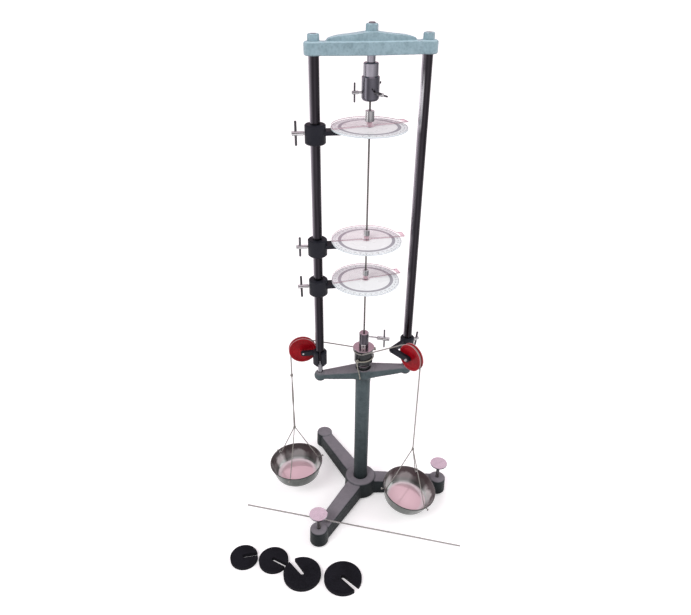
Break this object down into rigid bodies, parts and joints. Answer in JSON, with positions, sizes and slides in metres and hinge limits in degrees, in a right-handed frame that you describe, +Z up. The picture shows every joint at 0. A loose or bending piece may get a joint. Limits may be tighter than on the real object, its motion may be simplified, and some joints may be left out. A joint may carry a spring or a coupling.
{
  "type": "statical torsion apparatus",
  "caption": "Bench stand that twists an upright rod between a fixed chuck and a drum turned by cords, pulleys and loaded pans, with pointers read against round dials.",
  "frame": {"origin": "foot of the column's axis, on the floor", "axes": "+Z up along the column, +X along the crossarms to the right, +Y to the back"},
  "size_m": [0.5904, 0.5534, 1.1635],
  "materials": {
    "dark_paint": "hammer paint, dark blue-grey",
    "light_paint": "hammer paint, light blue-grey",
    "black_paint": "satin black enamel",
    "dark_steel": "dark ground steel",
    "bright_steel": "bright turned steel",
    "nickel": "satin nickel plate",
    "white_plastic": "opaque white sheet",
    "clear_acrylic": "clear sheet",
    "red_plastic": "gloss red",
    "cord": "plaited grey-white cord",
    "stainless": "polished spun sheet",
    "cast_black": "matt black casting"
  },
  "bodies": {
    "stand": {"tripod_base": "dark_paint", "rear_foot": "bright_steel", "column_bolt": "bright_steel", "column": "dark_paint", "lower_crossarm": "dark_paint", "left_upright": "dark_steel", "right_upright": "dark_steel", "upper_crosshead": "light_paint", "upright_nuts": "bright_steel", "chuck_lock_nut": "bright_steel", "upper_chuck_shank": "dark_steel", "upper_chuck_sleeve": "dark_steel", "upper_chuck_body": "dark_steel", "specimen_rod": "bright_steel", "drum_pivot": "bright_steel", "drum_thrust_ring": "bright_steel", "left_pulley_bracket": "black_paint", "right_pulley_bracket": "black_paint", "left_axle": "bright_steel", "right_axle": "bright_steel", "left_cord": "cord", "right_cord": "cord"},
    "drum": {"torsion_drum": "dark_steel", "drum_flange": "nickel", "lower_chuck": "nickel", "drum_cord": "cord"},
    "lower_chuck_screw": {"lower_chuck_screw": "bright_steel"},
    "left_pulley": {"left_pulley": "red_plastic"},
    "right_pulley": {"right_pulley": "red_plastic"},
    "left_pan": {"left_pan": "stainless", "left_hanger": "cord"},
    "right_pan": {"right_pan": "stainless", "right_hanger": "cord"},
    "left_bracket_screw": {"left_bracket_screw": "bright_steel"},
    "right_bracket_screw": {"right_bracket_screw": "bright_steel"},
    "front_levelling_screw": {"front_levelling_screw": "nickel"},
    "right_levelling_screw": {"right_levelling_screw": "nickel"},
    "spare_rod": {"spare_rod": "bright_steel"},
    "dial_1": {"dial_bracket_1": "black_paint", "dial_disc_1": "white_plastic"},
    "dial_screw_1": {"dial_screw_1": "bright_steel"},
    "pointer_1": {"pointer_blade_1": "clear_acrylic", "pointer_collar_1": "dark_steel"},
    "dial_2": {"dial_bracket_2": "black_paint", "dial_disc_2": "white_plastic"},
    "dial_screw_2": {"dial_screw_2": "bright_steel"},
    "pointer_2": {"pointer_blade_2": "clear_acrylic", "pointer_collar_2": "dark_steel"},
    "dial_3": {"dial_bracket_3": "black_paint", "dial_disc_3": "white_plastic"},
    "dial_screw_3": {"dial_screw_3": "bright_steel"},
    "pointer_3": {"pointer_blade_3": "clear_acrylic", "pointer_collar_3": "dark_steel"},
    "chuck_screw_1": {"chuck_screw_1": "bright_steel"},
    "chuck_screw_2": {"chuck_screw_2": "bright_steel"},
    "chuck_screw_3": {"chuck_screw_3": "bright_steel"},
    "small_weight_a": {"small_weight_a": "cast_black"},
    "small_weight_b": {"small_weight_b": "cast_black"},
    "large_weight_a": {"large_weight_a": "cast_black"},
    "large_weight_b": {"large_weight_b": "cast_black"}
  },
  "joints": [
    {"name": "drum_twist", "type": "hinge", "parent": "stand", "child": "drum", "pos_m": [0, 0, 0.4565], "axis": [0, 0, 1], "range_deg": [0, 25], "stiffness_Nm_per_rad": 3.9, "springref_deg": -1.67, "deforming": ["left_cord", "right_cord"]},
    {"name": "left_pulley_turn", "type": "hinge", "parent": "stand", "child": "left_pulley", "pos_m": [-0.144, 0.0238, 0.468], "axis": [0, -1, 0], "range_deg": [0, 25]},
    {"name": "right_pulley_turn", "type": "hinge", "parent": "stand", "child": "right_pulley", "pos_m": [0.0977, -0.0746, 0.489], "axis": [0.848, 0.5299, 0], "range_deg": [0, 25]},
    {"name": "left_pan_drop", "type": "slide", "parent": "stand", "child": "left_pan", "axis": [0, 0, -1], "range_m": [0, 0.0105]},
    {"name": "right_pan_drop", "type": "slide", "parent": "stand", "child": "right_pan", "axis": [0, 0, -1], "range_m": [0, 0.0105]},
    {"name": "dial_height_1", "type": "slide", "parent": "stand", "child": "dial_1", "axis": [0, 0, 1], "range_m": [-0.15, 0.001]},
    {"name": "dial_screw_turn_1", "type": "hinge", "parent": "dial_1", "child": "dial_screw_1", "pos_m": [-0.105, 0, 0.9761], "axis": [-1, 0, 0], "range_deg": [0, 450]},
    {"name": "pointer_twist_1", "type": "hinge", "parent": "stand", "child": "pointer_1", "pos_m": [0, 0, 1.0043], "axis": [0, 0, 1], "range_deg": [0, 3]},
    {"name": "dial_height_2", "type": "slide", "parent": "stand", "child": "dial_2", "axis": [0, 0, 1], "range_m": [-0.046, 0.001]},
    {"name": "dial_screw_turn_2", "type": "hinge", "parent": "dial_2", "child": "dial_screw_2", "pos_m": [-0.105, 0, 0.7428], "axis": [-1, 0, 0], "range_deg": [0, 450]},
    {"name": "pointer_twist_2", "type": "hinge", "parent": "stand", "child": "pointer_2", "pos_m": [0, 0, 0.7675], "axis": [0, 0, 1], "range_deg": [0, 14]},
    {"name": "dial_height_3", "type": "slide", "parent": "stand", "child": "dial_3", "axis": [0, 0, 1], "range_m": [-0.09, 0.001]},
    {"name": "dial_screw_turn_3", "type": "hinge", "parent": "dial_3", "child": "dial_screw_3", "pos_m": [-0.105, 0, 0.6492], "axis": [-1, 0, 0], "range_deg": [0, 450]},
    {"name": "pointer_twist_3", "type": "hinge", "parent": "stand", "child": "pointer_3", "pos_m": [0, 0, 0.6739], "axis": [0, 0, 1], "range_deg": [0, 19]},
    {"name": "chuck_screw_turn_1", "type": "hinge", "parent": "stand", "child": "chuck_screw_1", "pos_m": [0, 0, 1.0466], "axis": [-1, 0, 0], "range_deg": [0, 450]},
    {"name": "chuck_screw_turn_2", "type": "hinge", "parent": "stand", "child": "chuck_screw_2", "pos_m": [0, 0, 1.0466], "axis": [0.5, -0.866, 0], "range_deg": [0, 450]},
    {"name": "chuck_screw_turn_3", "type": "hinge", "parent": "stand", "child": "chuck_screw_3", "pos_m": [0, 0, 1.0466], "axis": [0.5, 0.866, 0], "range_deg": [0, 450]},
    {"name": "lower_chuck_screw_turn", "type": "hinge", "parent": "drum", "child": "lower_chuck_screw", "pos_m": [0, 0, 0.5087], "axis": [0.9205, -0.3907, 0], "range_deg": [0, 450]},
    {"name": "left_bracket_screw_turn", "type": "hinge", "parent": "stand", "child": "left_bracket_screw", "pos_m": [-0.105, 0, 0.45], "axis": [0, 1, 0], "range_deg": [0, 450]},
    {"name": "right_bracket_screw_turn", "type": "hinge", "parent": "stand", "child": "right_bracket_screw", "pos_m": [0.105, 0, 0.484], "axis": [0.9272, 0.3746, 0], "range_deg": [0, 450]},
    {"name": "front_levelling_turn", "type": "hinge", "parent": "stand", "child": "front_levelling_screw", "pos_m": [-0.13342, -0.16476, 0.05], "axis": [0, 0, 1], "range_deg": [-540, 540]},
    {"name": "right_levelling_turn", "type": "hinge", "parent": "stand", "child": "right_levelling_screw", "pos_m": [0.20939, -0.03316, 0.05], "axis": [0, 0, 1], "range_deg": [-540, 540]},
    {"name": "spare_rod_lift", "type": "slide", "parent": "stand", "child": "spare_rod", "axis": [0, 0, 1], "range_m": [0, 0.15]},
    {"name": "small_weight_a_lift", "type": "slide", "parent": "stand", "child": "small_weight_a", "axis": [0, 0, 1], "range_m": [0, 0.15]},
    {"name": "small_weight_b_lift", "type": "slide", "parent": "stand", "child": "small_weight_b", "axis": [0, 0, 1], "range_m": [0, 0.15]},
    {"name": "large_weight_a_lift", "type": "slide", "parent": "stand", "child": "large_weight_a", "axis": [0, 0, 1], "range_m": [0, 0.15]},
    {"name": "large_weight_b_lift", "type": "slide", "parent": "stand", "child": "large_weight_b", "axis": [0, 0, 1], "range_m": [0, 0.15]}
  ],
  "couplings": [
    {"joint": "left_pulley_turn", "follows": "drum_twist", "ratio": 0.8264},
    {"joint": "right_pulley_turn", "follows": "drum_twist", "ratio": 0.8264},
    {"joint": "left_pan_drop", "follows": "drum_twist", "m_per_rad": 0.0238},
    {"joint": "right_pan_drop", "follows": "drum_twist", "m_per_rad": 0.0238},
    {"joint": "pointer_twist_1", "follows": "drum_twist", "ratio": 0.0532},
    {"joint": "pointer_twist_2", "follows": "drum_twist", "ratio": 0.5149},
    {"joint": "pointer_twist_3", "follows": "drum_twist", "ratio": 0.6974}
  ]
}
